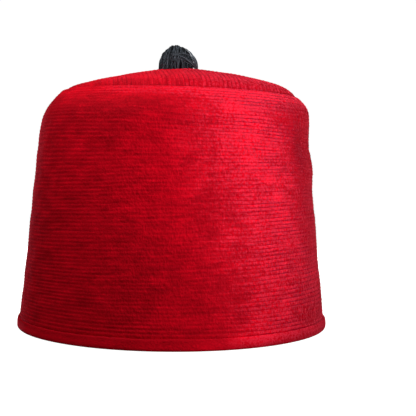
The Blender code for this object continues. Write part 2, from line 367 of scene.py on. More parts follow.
def painted_shading_share(point):
    """Painted shade on the side, in patches, and painted light where a patch's strength is below 0.
    Painted light also lies in a fuzzy strip each below the seam and above the hem band."""
    bearing = bearing_of(point)
    strip = -0.3 - 0.5 * ramp(bearing, -42.0, -24.0) - 0.3 * around(bearing, 40.0, 10.0, 35.0)
    share = strip * ramp(point.z, SEAM_HEIGHT - 0.0060, SEAM_HEIGHT - 0.0030)
    share -= 0.5 * ramp(point.z, HEM_HEIGHT + 0.0020, HEM_HEIGHT + 0.0008)
    return share + sum(
        strength * patch(bearing, point.z, centre, level, half_width, half_height)
        for centre, level, half_width, half_height, strength in PAINTED_SHADING_PATCHES)


def painted_top_shading_share(point):
    """Painted shade on the top: at its rim, most on the right.  Further in, painted light,
    most at the right and left ends."""
    bearing = bearing_of(point)
    rim = ramp(math.hypot(point.x, point.y) / TOP_RADIUS, 0.88, 0.95)
    painted_shading = 0.25 + 0.55 * around(bearing, 70.0, 20.0, 70.0) + 0.5 * around(bearing, -5.0, 0.0, 20.0)
    painted_light = 0.55 + 0.95 * ramp(bearing, 40.0, 60.0) + 0.4 * around(bearing, -38.0, 10.0, 35.0)
    return rim * painted_shading - (1 - rim) * painted_light


def painted_hem_shading_share(point):
    """Painted shade and painted light on the hem band: shade at its upper edge and light at its
    lower edge on the left and in the middle, shade at its lower edge and light at its upper edge on
    the right, and shade all over at the right end."""
    bearing = bearing_of(point)
    level = point.z / HEM_HEIGHT
    left = ramp(-bearing, 10.0, 30.0)
    right = ramp(bearing, 12.0, 26.0)
    on_left = -0.85 + 2.35 * ramp(level, 0.55, 0.95)
    in_middle = 2.2 * (level - 0.55) - 0.4 * ramp(level, 0.35, 0.05) + 0.4 * ramp(level, 0.70, 0.95)
    on_right = 0.3 - 1.2 * ramp(level, 0.25, 0.65)
    share = on_left * left + in_middle * (1 - left) * (1 - right) + on_right * right
    share -= 0.35 * math.exp(-((bearing - 17.0) / 10.0) ** 2)
    return share + 1.2 * ramp(bearing, 30.0, 46.0)


def worn_share(point):
    """How far the pile has closed over the stitching at a point of the side: at the middle of
    the front, and over the shoulder below the seam, less on the right."""
    bearing = bearing_of(point)
    shoulder = ramp(point.z, WORN_SHOULDER_START, WORN_SHOULDER_END)
    shoulder *= 1 - 0.8 * ramp(bearing, 5.0, 35.0)
    return min(0.75 * around(bearing, *WORN_FRONT) + 0.9 * shoulder
               + 0.35 * around(bearing, *CALM_CLOTH), 0.95)


def worn_top_share(point):
    """How far the pile has closed over the stitching of the top: on the left."""
    return around(bearing_of(point), *WORN_TOP)


def painted_seam_shade_share(point):
    """Painted shade line at the foot of the top's rim, along the seam: most on the right of the
    front.
    """
    rim_foot = ramp(point.z, SEAM_HEIGHT + 0.0016, SEAM_HEIGHT + 0.0004)
    return rim_foot * (0.15 + 0.6 * painted_top_shading_share(point))


def mark(piece, name, share):
    """Give each point of the piece a share, for its material to read."""
    marks = piece.data.attributes.new(name, "FLOAT", "POINT")
    marks.data.foreach_set("value", [share(point.co) for point in piece.data.vertices])


def finish(piece, materials, node):
    """Settle the piece, smooth it, give it its materials, and put it in the place of its node."""
    for point in piece.data.vertices:
        point.co = settled(point.co)
    bpy.context.view_layer.objects.active = piece
    piece.select_set(True)
    bpy.ops.object.shade_smooth_by_angle(angle=SMOOTH_ANGLE)
    for material in materials:
        piece.data.materials.append(material)
    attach(piece, "root")
    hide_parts(node)


# ---------------------------------------------------------------- materials

ROW_WIDTH = 0.0021
TUFT_WIDTH = 0.0012            # really 0.2 mm, too fine to show, so drawn this coarse
ROW_TUFT_HEIGHT = 0.0022       # the rows of the side draw the tufts out up and down


def linear(hex_colour):
    """Linear colour of an sRGB hex value."""
    parts = [int(hex_colour[start:start + 2], 16) / 255 for start in (1, 3, 5)]
    return [part / 12.92 if part <= 0.04045 else ((part + 0.055) / 1.055) ** 2.4
            for part in parts] + [1.0]


def add(tree, kind, settings=None, inputs=None):
    """Add one node, with its settings and with a value or a link for each named input."""
    node = tree.nodes.new(kind)
    for name, value in (settings or {}).items():
        setattr(node, name, value)
    for name, value in (inputs or {}).items():
        if isinstance(value, bpy.types.NodeSocket):
            tree.links.new(value, node.inputs[name])
        else:
            node.inputs[name].default_value = value
    return node


def new_material(name, **sockets):
    """Material whose shader has the given values on its own sockets."""
    material = bpy.data.materials.new(name)
    material.use_nodes = True
    shader = material.node_tree.nodes["Principled BSDF"]
    for socket, value in sockets.items():
        shader.inputs[socket.replace("_", " ")].default_value = value
    return material, material.node_tree, shader


def velvet(name, light, dark, stitched, along_x, tuft_height=TUFT_WIDTH):
    """Cotton velvet: a short dense pile.  It is matt, it glows a little pink where it is seen along
    the pile, it is streaky and blotchy where the pile has been stroked the other way, and it is
    dark where stitching draws it in, with painted shade in the furrows.  Painted into its colour
    are also a pink highlight, painted shade and painted light in patches, and a painted shade line
    at the seam.
    Its rows run round the hat, along X and Y, or along Y alone."""
    material, tree, shader = new_material(
        name, Roughness=0.7, IOR=1.45, Specular_IOR_Level=0.035, Specular_Tint=linear("#ffc4e6"),
        Sheen_Weight=0.8, Sheen_Roughness=0.2, Sheen_Tint=linear("#ff4a60"))
    place = add(tree, "ShaderNodeTexCoord").outputs["Object"]
    # Stroked pile: soft blotches of about 10 mm
    blotches = add(tree, "ShaderNodeTexNoise", inputs={
        "Vector": place, "Scale": 1 / 0.010, "Detail": 2.0, "Roughness": 0.55})
    # Tufts of the pile
    lie = add(tree, "ShaderNodeMapping", inputs={
        "Vector": place, "Scale": (1 / TUFT_WIDTH, 1 / TUFT_WIDTH, 1 / tuft_height)})
    tufts = add(tree, "ShaderNodeTexNoise", inputs={
        "Vector": lie.outputs[0], "Scale": 1.0, "Detail": 2.0, "Roughness": 0.65})
    nap_highlight = add(tree, "ShaderNodeAttribute", {"attribute_name": "nap_highlight"}).outputs["Fac"]
    # They stand out more where the nap is stroked up, with the painted highlight
    ruffled = add(tree, "ShaderNodeMapRange", inputs={
        "Value": nap_highlight, "From Min": -0.4, "From Max": 1.4, "To Min": 0.62, "To Max": 1.5})
    tuft = add(tree, "ShaderNodeMath", {"operation": "SUBTRACT"}, {
        0: tufts.outputs["Fac"], 1: 0.5})
    tuft = add(tree, "ShaderNodeMath", {"operation": "MULTIPLY_ADD"}, {
        0: tuft.outputs[0], 1: ruffled.outputs["Result"], 2: 0.5}).outputs[0]
    tone = add(tree, "ShaderNodeMath", {"operation": "MULTIPLY_ADD"}, {
        0: blotches.outputs["Fac"], 1: 0.9, 2: tuft}).outputs[0]
    height = tuft
    if stitched:
        # Place on the cloth in metres: along the rows, and the row times the width of a row
        row = add(tree, "ShaderNodeAttribute", {"attribute_name": "row"}).outputs["Fac"]
        across = add(tree, "ShaderNodeMath", {"operation": "MULTIPLY"}, {0: row, 1: ROW_WIDTH})
        parts = add(tree, "ShaderNodeSeparateXYZ", inputs={"Vector": place})
        cloth = add(tree, "ShaderNodeCombineXYZ", inputs={
            "Y": parts.outputs["Y"], "Z": across.outputs[0]})
        if along_x:
            tree.links.new(parts.outputs["X"], cloth.inputs["X"])
        # Each row's pile leans its own way for some 15 mm at a time
        long_grain = add(tree, "ShaderNodeMapping", inputs={
            "Vector": cloth.outputs[0], "Scale": (1 / 0.015, 1 / 0.015, 1 / 0.0017)})
        streaks = add(tree, "ShaderNodeTexNoise", inputs={
            "Vector": long_grain.outputs[0], "Scale": 1.0, "Detail": 2.0, "Roughness": 0.5})
        tone = add(tree, "ShaderNodeMath", {"operation": "MULTIPLY_ADD"}, {
            0: streaks.outputs["Fac"], 1: 1.3, 2: tone}).outputs[0]
        # Puckers: each stitch gathers the ridge beside it, about every 2 mm
        short_grain = add(tree, "ShaderNodeMapping", inputs={
            "Vector": cloth.outputs[0], "Scale": (1 / 0.0020, 1 / 0.0020, 1 / ROW_WIDTH)})
        puckers = add(tree, "ShaderNodeTexNoise", inputs={
            "Vector": short_grain.outputs[0], "Scale": 1.0, "Detail": 1.0, "Roughness": 0.4})
        pull = add(tree, "ShaderNodeMath", {"operation": "MULTIPLY_ADD"}, {
            0: nap_highlight, 1: 1.2, 2: 0.5})
        height = add(tree, "ShaderNodeMath", {"operation": "MULTIPLY_ADD"}, {
            0: puckers.outputs["Fac"], 1: pull.outputs[0], 2: height}).outputs[0]
    # Painted shade darkens the tone, and painted light, below 0, lightens it
    painted_shading = add(tree, "ShaderNodeAttribute", {"attribute_name": "painted_shading"}).outputs["Fac"]
    tone = add(tree, "ShaderNodeMath", {"operation": "MULTIPLY_ADD"}, {
        0: painted_shading, 1: -0.40, 2: tone}).outputs[0]
    # The tone of plain cloth is the sum of blotches and tufts, and of streaks where it has rows
    middle = 1.6 if stitched else 0.95
    tone = add(tree, "ShaderNodeMapRange", inputs={
        "Value": tone, "From Min": middle - 0.42, "From Max": middle + 0.42})
    colour = add(tree, "ShaderNodeMix", {"data_type": "RGBA"}, {
        "Factor": tone.outputs["Result"], 6: linear(dark), 7: linear(light)}).outputs[2]
    # Where the painted shade is deepest, it is painted darker still
    pressed = add(tree, "ShaderNodeMapRange", inputs={
        "Value": painted_shading, "From Min": 1.9, "From Max": 3.1})
    colour = add(tree, "ShaderNodeMix", {"data_type": "RGBA"}, {
        "Factor": pressed.outputs["Result"], 6: colour, 7: linear("#84020f")}).outputs[2]
    if stitched:
        # The pile closes over the stitching in places, over 20 mm or so
        closing = add(tree, "ShaderNodeMapping", inputs={
            "Vector": cloth.outputs[0], "Scale": (1 / 0.022, 1 / 0.022, 1 / 0.007)})
        open_furrow = add(tree, "ShaderNodeTexNoise", inputs={
            "Vector": closing.outputs[0], "Scale": 1.0, "Detail": 2.0})
        shown = add(tree, "ShaderNodeMapRange", inputs={
            "Value": open_furrow.outputs["Fac"], "From Min": 0.36, "From Max": 0.64,
            "To Min": 0.15, "To Max": 0.85})
        worn = add(tree, "ShaderNodeAttribute", {"attribute_name": "worn"}).outputs["Fac"]
        kept = add(tree, "ShaderNodeMath", {"operation": "MULTIPLY_ADD"}, {
            0: worn, 1: -0.85, 2: 1.0})
        kept = add(tree, "ShaderNodeMath", {"operation": "MULTIPLY_ADD"}, {
            0: nap_highlight, 1: 0.45, 2: kept.outputs[0]})
        # Dark line along each furrow: the stitching, with painted shade in the crease.  It shows
        # less where the pile has closed over it, and more with the painted highlight
        from_furrow = add(tree, "ShaderNodeMath", {"operation": "PINGPONG"}, {0: row, 1: 0.5})
        furrow = add(tree, "ShaderNodeMapRange", {"interpolation_type": "SMOOTHSTEP"}, {
            "Value": from_furrow.outputs[0], "From Min": 0.24, "From Max": 0.0})
        line = add(tree, "ShaderNodeMath", {"operation": "MULTIPLY"}, {
            0: furrow.outputs["Result"], 1: shown.outputs["Result"]})
        line = add(tree, "ShaderNodeMath", {"operation": "MULTIPLY"}, {
            0: line.outputs[0], 1: kept.outputs[0]})
        # Painted shade line along the seam, at the foot of the top's rim
        painted_seam_shade = add(tree, "ShaderNodeAttribute", {"attribute_name": "painted_seam_shade"}).outputs["Fac"]
        stitching_and_painted_shade = add(tree, "ShaderNodeMath", {"operation": "MAXIMUM"}, {
            0: line.outputs[0], 1: painted_seam_shade})
        colour = add(tree, "ShaderNodeMix", {"data_type": "RGBA"}, {
            "Factor": stitching_and_painted_shade.outputs[0], 6: colour, 7: linear(stitched)}).outputs[2]
    # Painted pink highlight: where the nap has been stroked up, the tips of the pile are painted
    # pinker, and most on the lighter cloth and on the ridges
    fuzz = add(tree, "ShaderNodeTexNoise", inputs={
        "Vector": place, "Scale": 1 / TUFT_WIDTH, "Detail": 1.0})
    tips = add(tree, "ShaderNodeMapRange", inputs={
        "Value": fuzz.outputs["Fac"], "From Min": 0.35, "From Max": 0.65,
        "To Min": -0.2, "To Max": 2.2})
    lit = add(tree, "ShaderNodeMath", {"operation": "MULTIPLY_ADD"}, {
        0: tone.outputs["Result"], 1: 1.5, 2: 0.25})
    lit = add(tree, "ShaderNodeMath", {"operation": "MULTIPLY"}, {
        0: lit.outputs[0], 1: tips.outputs["Result"]})
    painted_highlight = add(tree, "ShaderNodeMath", {"operation": "MULTIPLY"}, {
        0: nap_highlight, 1: lit.outputs[0]})
    if stitched:
        raised = add(tree, "ShaderNodeMath", {"operation": "MULTIPLY_ADD"}, {
            0: furrow.outputs["Result"], 1: -1.0, 2: 1.0})
        painted_highlight = add(tree, "ShaderNodeMath", {"operation": "MULTIPLY"}, {
            0: painted_highlight.outputs[0], 1: raised.outputs[0]})
    colour = add(tree, "ShaderNodeMix", {"data_type": "RGBA", "blend_type": "ADD"}, {
        "Factor": painted_highlight.outputs[0], 6: colour, 7: linear("#001e2c")}).outputs[2]
    bump = add(tree, "ShaderNodeBump", inputs={
        "Strength": 0.9, "Distance": 0.0006, "Height": height})
    tree.links.new(colour, shader.inputs["Base Color"])
    tree.links.new(bump.outputs["Normal"], shader.inputs["Normal"])
    return material


def backing(name):
    """Cotton backing cloth inside the hat: plain woven, matt, with the lines of stitching
    showing through it."""
    material, tree, shader = new_material(
        name, Roughness=0.9, IOR=1.45, Specular_IOR_Level=0.2, Sheen_Weight=0.05)
    place = add(tree, "ShaderNodeTexCoord").outputs["Object"]
    patches = add(tree, "ShaderNodeTexNoise", inputs={
        "Vector": place, "Scale": 1 / 0.012, "Detail": 3.0})
    # Threads are 0.4 mm apart, drawn 0.9 mm apart so that they show
    weave = add(tree, "ShaderNodeTexNoise", inputs={
        "Vector": place, "Scale": 1 / 0.0009, "Detail": 1.0})
    colour = add(tree, "ShaderNodeMix", {"data_type": "RGBA"}, {
        "Factor": patches.outputs["Fac"], 6: linear("#4a0a12"), 7: linear("#6e121d")})
    row = add(tree, "ShaderNodeAttribute", {"attribute_name": "row"}).outputs["Fac"]
    across = add(tree, "ShaderNodeMath", {"operation": "PINGPONG"}, {0: row, 1: 0.5})
    ridge = add(tree, "ShaderNodeMapRange", {"interpolation_type": "SMOOTHSTEP"}, {
        "Value": across.outputs[0], "From Min": 0.0, "From Max": 0.2})
    height = add(tree, "ShaderNodeMath", {"operation": "MULTIPLY_ADD"}, {
        0: weave.outputs["Fac"], 1: 0.35, 2: ridge.outputs["Result"]})
    bump = add(tree, "ShaderNodeBump", inputs={
        "Strength": 0.7, "Distance": 0.0005, "Height": height.outputs[0]})
    tree.links.new(colour.outputs[2], shader.inputs["Base Color"])
    tree.links.new(bump.outputs["Normal"], shader.inputs["Normal"])
    return material


def rayon(name):
    """Viscose rayon embroidery strands: blue-black, glossy along their length, each strand a
    little lighter or darker than the next, at random and with painted light and shade by its lock."""
    material, tree, shader = new_material(
        name, Roughness=0.45, IOR=1.53, Specular_IOR_Level=0.38,
        Specular_Tint=linear("#dbe3f4"))
    tone_and_painted_light = add(tree, "ShaderNodeAttribute", {"attribute_name": "strand_tone_and_painted_light"}).outputs["Fac"]
    place = add(tree, "ShaderNodeTexCoord").outputs["Object"]
    # Twist of the fibres in a strand, about 0.9 mm
    fibres = add(tree, "ShaderNodeTexNoise", inputs={
        "Vector": place, "Scale": 1 / 0.0009, "Detail": 1.0})
    patchy = add(tree, "ShaderNodeMath", {"operation": "MULTIPLY"}, {
        0: tone_and_painted_light, 1: fibres.outputs["Fac"]})
    glint = add(tree, "ShaderNodeMapRange", inputs={
        "Value": patchy.outputs[0], "From Min": 0.05, "From Max": 0.50})
    colour = add(tree, "ShaderNodeMix", {"data_type": "RGBA"}, {
        "Factor": glint.outputs["Result"], 6: linear("#020304"), 7: linear("#52585f")})
    bump = add(tree, "ShaderNodeBump", inputs={
        "Strength": 0.35, "Distance": 0.0002, "Height": fibres.outputs["Fac"]})
    tree.links.new(colour.outputs[2], shader.inputs["Base Color"])
    tree.links.new(bump.outputs["Normal"], shader.inputs["Normal"])
    return material


# ---------------------------------------------------------------- side

def side_rings():
    """Rings of the side, each a radius, a height and a row: up the outer face, over the seam and
    down the inner face."""
    lean = math.atan(TAPER)
    rise = SEAM_HEIGHT - SHOULDER_HEIGHT
    inset = SHOULDER_RADIUS - SEAM_RADIUS
    half_turn = math.atan2(inset, rise) - lean
    arc_radius = math.hypot(rise, inset) / (2 * math.sin(half_turn))
    first_row = FIRST_ROW_HEIGHT / math.cos(lean)
    shoulder = SHOULDER_HEIGHT / math.cos(lean)
    seam = shoulder + arc_radius * 2 * half_turn

    def at(distance, out):
        """Point at a distance up the cloth and out from its face."""
        if distance <= shoulder:
            turn = lean
            height = distance * math.cos(turn)
            radius = wall_radius(height)
        else:
            turn = lean + (distance - shoulder) / arc_radius
            radius = SHOULDER_RADIUS - arc_radius * (math.cos(lean) - math.cos(turn))
            height = SHOULDER_HEIGHT + arc_radius * (math.sin(turn) - math.sin(lean))
        return radius + out * math.cos(turn), height + out * math.sin(turn)

    half_row = (seam - first_row) / (2 * SIDE_ROWS)
    foot = HEM_FLOOR + CLEARANCE
    rings = [(wall_radius(foot) - 0.0006, foot, 0.0)]
    for step in range(2 * SIDE_ROWS):
        out = RIDGE_FULLNESS if step % 2 else -FURROW_DEPTH
        rings.append((*at(first_row + step * half_row, out), step / 2))
    # Rolled edge at the seam, the groove under the top's rim and the seam allowance
    groove = TOP_RADIUS + 0.0006
    ledge = SEAM_HEIGHT - GROOVE_DEPTH
    rings += [
        (SEAM_RADIUS + 0.0001, SEAM_HEIGHT - 0.0001, SIDE_ROWS),
        (SEAM_RADIUS - LIP_WIDTH / 2, SEAM_HEIGHT + LIP_HEIGHT, SIDE_ROWS + 0.5),
        (groove, SEAM_HEIGHT - 0.0002, SIDE_ROWS + 0.5),
        (groove, ledge, SIDE_ROWS + 0.5),
        (LEDGE_INNER_RADIUS, ledge + 0.0014, SIDE_ROWS + 0.5),
        (LEDGE_INNER_RADIUS, ledge - 0.0002, SIDE_ROWS + 0.5),
    ]
    # Plain inner face, from the seam down
    inner_top = seam - INNER_END
    distances = [inner_top - (inner_top - shoulder) * step / 5 for step in range(5)]
    distances += [shoulder * (1 - step / 8) for step in range(8)]
    for distance in distances:
        rings.append((*at(distance, -WALL_THICKNESS), (distance - first_row) / half_row / 2))
    rings.append((wall_radius(foot) - WALL_THICKNESS, foot, 0.0))
    return rings


def quilt_side():
    """Side wall: a ring for each furrow and each ridge, creased along the stitching."""
    rings = side_rings()
    piece = draw_rings("quilted_side", [ring[:2] for ring in rings], SIDE_SEGMENTS)
    last_furrow = 2 * SIDE_ROWS - 1
    pick(piece, lambda point: point.index // SIDE_SEGMENTS in range(1, last_furrow + 1, 2))
    bpy.ops.transform.edge_crease(value=0.75)
    close_rings(piece, SIDE_SEGMENTS, len(rings))
    put_down()
    row = piece.data.attributes.new("row", "FLOAT", "POINT")
    row.data.foreach_set("value", [rings[index // SIDE_SEGMENTS][2]
                                   for index in range(len(piece.data.vertices))])
    # Backing cloth shows from the foot of the groove on, and down the inside to the lower edge
    inside = 2 * SIDE_ROWS + 4
    for face in piece.data.polygons:
        levels = [index // SIDE_SEGMENTS for index in face.vertices]
        if min(levels) >= inside or (0 in levels and max(levels) > inside):
            face.material_index = 1
    modify(piece, "SUBSURF", levels=1, render_levels=1)

    def clear_of_edges(co):
        """Share that goes to 0 towards the hem band and towards the seam."""
        return min((co.z - 0.008) / 0.012, (SEAM_HEIGHT - 0.003 - co.z) / 0.012)

    # Where the pile has closed over the stitching, the ridges are flatter
    worn = paint_weights(piece, "pressed", lambda co: min(
        worn_share(co), (SEAM_HEIGHT - 0.0035 - co.z) / 0.002, (co.z - 0.010) / 0.010))
    modify(piece, "SMOOTH", factor=0.5, iterations=8, vertex_group=worn)
    loose = paint_weights(piece, "loose", clear_of_edges)
    gathered = paint_weights(piece, "gathered", lambda co: (
        clear_of_edges(co) * (0.15 + 0.85 * nap_highlight_share(co))))
    # Rows wander up and down, the cloth between them is a little lumpy, and the stitching
    # gathers it most where the nap is stroked up
    modify(piece, "DISPLACE", texture=slack("wandering rows", 0.032), direction="Z",
           mid_level=0.5, strength=0.0010, vertex_group=loose)
    modify(piece, "DISPLACE", texture=slack("uneven cloth", 0.011), direction="NORMAL",
           mid_level=0.5, strength=0.0007, vertex_group=loose)
    modify(piece, "DISPLACE", texture=slack("gathers", 0.0030), direction="NORMAL",
           mid_level=0.5, strength=0.00055, vertex_group=gathered)
    mark(piece, "nap_highlight", nap_highlight_share)
    mark(piece, "painted_shading", painted_shading_share)
    mark(piece, "worn", worn_share)
    finish(piece, (side_velvet, backing_cloth), "crown_wall")


# ---------------------------------------------------------------- top

def quilt_top():
    """Top: a grid whose lines are the furrows and ridges, drawn in to the round, domed and
    thickened."""
    bare_hands()
    lines = 2 * TOP_ROWS
    bpy.ops.mesh.primitive_grid_add(x_subdivisions=lines, y_subdivisions=TOP_STATIONS,
                                    size=2 * TOP_RADIUS, location=(0, 0, 0))
    piece = named("quilted_top")
    line_gap = 2 * TOP_RADIUS / lines
    station_gap = 2 * TOP_RADIUS / TOP_STATIONS
    # Stations close up towards the edge, where the top bends down
    for station in range(1, TOP_STATIONS):
        y = -TOP_RADIUS + station * station_gap
        pick(piece, lambda point: point.index // (lines + 1) == station)
        move = TOP_RADIUS * math.sin(math.pi / 2 * y / TOP_RADIUS) - y
        bpy.ops.transform.translate(value=(0, move, 0))
    # Each line is drawn in to its own chord of the circle
    for line in range(lines + 1):
        x = -TOP_RADIUS + line * line_gap
        pick(piece, lambda point: point.index % (lines + 1) == line)
        chord = math.sqrt(max(TOP_RADIUS ** 2 - x * x, 1e-9)) / TOP_RADIUS
        bpy.ops.transform.resize(value=(1, chord, 1), center_override=(x, 0, 0))
    # Every other line is a furrow
    pick(piece, lambda point: point.index % (lines + 1) % 2 == 0)
    bpy.ops.transform.translate(value=(0, 0, -TOP_ROW_DEPTH))
    bpy.ops.transform.edge_crease(value=0.75)
    bpy.ops.mesh.select_all(action="SELECT")
    bpy.ops.mesh.remove_doubles(threshold=0.0001)
    bpy.ops.object.mode_set(mode="OBJECT")
    row = piece.data.attributes.new("row", "FLOAT", "POINT")
    row.data.foreach_set("value", [(point.co.x / TOP_RADIUS + 1) / 2 * TOP_ROWS
                                   for point in piece.data.vertices])
    dome = paint_weights(piece, "dome", lambda co: (
        top_height(min(math.hypot(co.x, co.y), TOP_RADIUS)) - SEAM_HEIGHT)
        / (HAT_HEIGHT - SEAM_HEIGHT))
    modify(piece, "DISPLACE", direction="Z", mid_level=0.0,
           strength=HAT_HEIGHT - SEAM_HEIGHT, vertex_group=dome)
    # The rim is turned down into the groove
    bpy.ops.object.mode_set(mode="EDIT")
    bpy.ops.mesh.select_mode(type="EDGE")
    bpy.ops.mesh.select_all(action="DESELECT")
    bpy.ops.mesh.select_non_manifold(extend=False)
    bpy.ops.mesh.extrude_region_move(TRANSFORM_OT_translate={"value": (0, 0, -TOP_RIM_DEPTH)})
    bpy.ops.mesh.select_all(action="SELECT")
    bpy.ops.transform.translate(value=(0, 0, SEAM_HEIGHT))
    bpy.ops.transform.rotate(value=-TOP_ROWS_TURN, orient_axis="Z", center_override=(0, 0, 0))
    bpy.ops.mesh.normals_make_consistent(inside=False)
    bpy.ops.object.mode_set(mode="OBJECT")
    modify(piece, "SUBSURF", levels=1, render_levels=1)
    worn = paint_weights(piece, "pressed", lambda co: min(
        worn_top_share(co), (co.z - SEAM_HEIGHT - 0.0006) / 0.001))
    modify(piece, "SMOOTH", factor=0.5, iterations=8, vertex_group=worn)
    loose = paint_weights(piece, "loose", lambda co: (
        TOP_RADIUS - 0.003 - math.hypot(co.x, co.y)) / 0.012)
    modify(piece, "DISPLACE", texture=slack("uneven top", 0.012), direction="NORMAL",
           mid_level=0.5, strength=0.0009, vertex_group=loose)
    modify(piece, "SOLIDIFY", thickness=TOP_THICKNESS, offset=-1.0, use_rim=True)
    for face in piece.data.polygons:
        if face.normal.z < -0.3:
            face.material_index = 1
    mark(piece, "nap_highlight", lambda point: 0.4 * nap_highlight_share(point))
    mark(piece, "painted_shading", painted_top_shading_share)
    mark(piece, "painted_seam_shade", painted_seam_shade_share)
    mark(piece, "worn", worn_top_share)
    finish(piece, (top_velvet, backing_cloth), "crown_top")


# ---------------------------------------------------------------- hem

def bind_hem():
    """Hem band: a channel of velvet round the wall's lower edge, with softly rolled edges."""
    inner_face = -WALL_THICKNESS - CLEARANCE
    section = (
        # out from the wall's outer face, height
        (HEM_PROUD - HEM_THICKNESS, HEM_HEIGHT),
        (HEM_PROUD - 0.0006, HEM_HEIGHT + 0.0002),
        (HEM_PROUD + 0.0001, HEM_HEIGHT - 0.0003),
        (HEM_PROUD + 0.0003, HEM_HEIGHT - 0.0014),
        (HEM_PROUD + 0.0003, 0.0019),
        (HEM_PROUD, 0.0006),
        (HEM_PROUD - 0.0009, 0.0),
        (inner_face - HEM_THICKNESS + 0.0010, 0.0),
        (inner_face - HEM_THICKNESS + 0.0001, 0.0008),
        (inner_face - HEM_THICKNESS, 0.0030),
        (inner_face - HEM_THICKNESS, HEM_INNER_HEIGHT - 0.0010),
        (inner_face - HEM_THICKNESS / 2, HEM_INNER_HEIGHT),
        (inner_face, HEM_INNER_HEIGHT - 0.0005),
        (inner_face, HEM_FLOOR),
        (HEM_PROUD - HEM_THICKNESS, HEM_FLOOR),
    )
    rings = [(wall_radius(height) + out, height) for out, height in section]
    piece = draw_rings("hem_binding", rings, HEM_SEGMENTS)
    close_rings(piece, HEM_SEGMENTS, len(rings))
    put_down()
    modify(piece, "SUBSURF", levels=1, render_levels=1)
    loose = paint_weights(piece, "loose", lambda co: (co.z - 0.0004) / 0.002)
    modify(piece, "DISPLACE", texture=slack("gathered binding", 0.007), direction="NORMAL",
           mid_level=0.5, strength=0.0006, vertex_group=loose)
    mark(piece, "nap_highlight", nap_highlight_share)
    mark(piece, "painted_shading", painted_hem_shading_share)
    finish(piece, (hem_velvet,), "hem_band")


# ---------------------------------------------------------------- tassel

def on_route(position):
    """Row of the tassel's route at a position counted in rows, on a smooth curve."""
    row = min(int(position), len(TASSEL_ROUTE) - 2)
    share = position - row
    nearby = [TASSEL_ROUTE[min(max(row + step, 0), len(TASSEL_ROUTE) - 1)]
              for step in (-1, 0, 1, 2)]
    return [b + share / 2 * (c - a + share * (2 * a - 5 * b + 4 * c - d
                                              + share * (3 * (b - c) + d - a)))
            for a, b, c, d in zip(*nearby)]


def in_bundle(position, angle, size, beyond):
    """Point of the bundle at a position along it, an angle round it and a share of its size,
    and so far beyond that along the route."""
    y, z, heading, half_width, half_thickness = on_route(position)
    heading = math.radians(heading)
    taper = HEAD_TAPER * max(0.0, 1 - abs(position - HEAD_ROW) / HEAD_ROW)
    raised = max(0.0, math.sin(angle))
    across = half_width * size * math.cos(angle) * (1 - taper * raised)
    out = half_thickness * size * math.sin(angle)
    return Vector((TASSEL_OFFSET - HEAD_LEAN * taper * raised + across,
                   y - math.sin(heading) * out + math.cos(heading) * beyond,
                   z + math.cos(heading) * out + math.sin(heading) * beyond))


def lay_strand(curve, points, thickness):
    """Lay one strand through its points."""
    strand = curve.splines.new("POLY")
    strand.points.add(len(points) - 1)
    for place, point in zip(strand.points, points):
        place.co = (*point, 1.0)
        place.radius = thickness


def past_end(index, reach):
    """How far an end of a strand lies past the route: its foot under the cloth, and its tip at
    the strand's own length."""
    if index == 0:
        return STRAND_FOOT
    return reach if index == len(STOPS) - 1 else 0.0


def core_strands():
    """Thick dark strands in the middle, which close the bundle between its locks."""
    return [([in_bundle(position, angle, size, past_end(index, CORE_REACH))
              for index, position in enumerate(STOPS)], CORE_THICKNESS, 0.0)
            for angle in (0.0, math.pi) for size in CORE_SIZES]


def lock_strands(dice):
    """Locks round the bundle.  Each winds and swells in its own way, and so does each strand."""
    strands = []
    for lock in range(LOCKS):
        lock_angle = math.tau * lock / LOCKS + dice.uniform(-0.12, 0.12)
        lock_turn = [dice.uniform(0, math.tau), dice.uniform(0.04, 0.16)]
        lock_reach = dice.uniform(-0.003, 0.003)
        # The bundle is fuller at its outer left, and flatter at its right
        lock_size = 1 + 0.075 * math.cos(lock_angle - math.radians(122)) + dice.uniform(-0.02, 0.0)
        lock_size -= 0.09 * max(0.0, math.cos(lock_angle)) ** 2
        for _ in range(STRANDS_IN_LOCK):
            place = dice.uniform(-1, 1)
            depth = dice.random()
            # Each wave has a phase and a size
            turn = [dice.uniform(0, math.tau), dice.uniform(0.0, 0.13)]
            swell = [dice.uniform(0, math.tau), dice.uniform(0.0, 0.025)]
            reach = LOCK_REACH * (1 - abs(place) ** 1.5) + lock_reach + dice.uniform(-0.002, 0.002)
            points = []
            # It winds slowly with its lock and by itself, with a fine ripple
            for index, position in enumerate(STOPS):
                along = position / STOPS[-1]
                angle = (lock_angle + place * (0.28 - 0.05 * along)
                         + turn[1] * math.sin(7 * along + turn[0])
                         + 0.04 * math.sin(60 * along + turn[0])
                         + lock_turn[1] * math.sin(5 * along + lock_turn[0]))
                size = (lock_size - (0.03 + 0.17 * along) * place ** 2 - 0.18 * depth
                        + swell[1] * math.sin(11 * along + swell[0]))
                points.append(in_bundle(position, angle, size, past_end(index, reach)))
            thickness = dice.uniform(0.75, 1.2)
            # Painted light and shade: the locks of the outer and the inner face are painted lighter
            # than those at the sides, on top of each strand's own tone at random
            tone_and_painted_light = dice.random() ** 1.9 * (0.45 + 0.95 * math.sin(lock_angle) ** 4)
            strands.append((points, thickness, tone_and_painted_light))
    return strands


def arched_strands(dice):
    """Strands that arch from side to side across the front of the folded head."""
    strands = []
    for _ in range(ARCHED_STRANDS):
        peak = dice.uniform(0.7, 1.7)
        lean = dice.uniform(-0.7, 0.7)
        size = dice.uniform(0.99, 1.03)
        points = []
        for index in range(len(STOPS)):
            share = index / (len(STOPS) - 1)
            rise = math.sin(math.pi * share) ** 0.8
            angle = math.pi * (1 - share) + lean * rise
            points.append(in_bundle(peak * rise, angle, size, STRAND_FOOT * (1 - rise)))
        strands.append((points, dice.uniform(0.6, 1.0), dice.random() ** 2))
    return strands


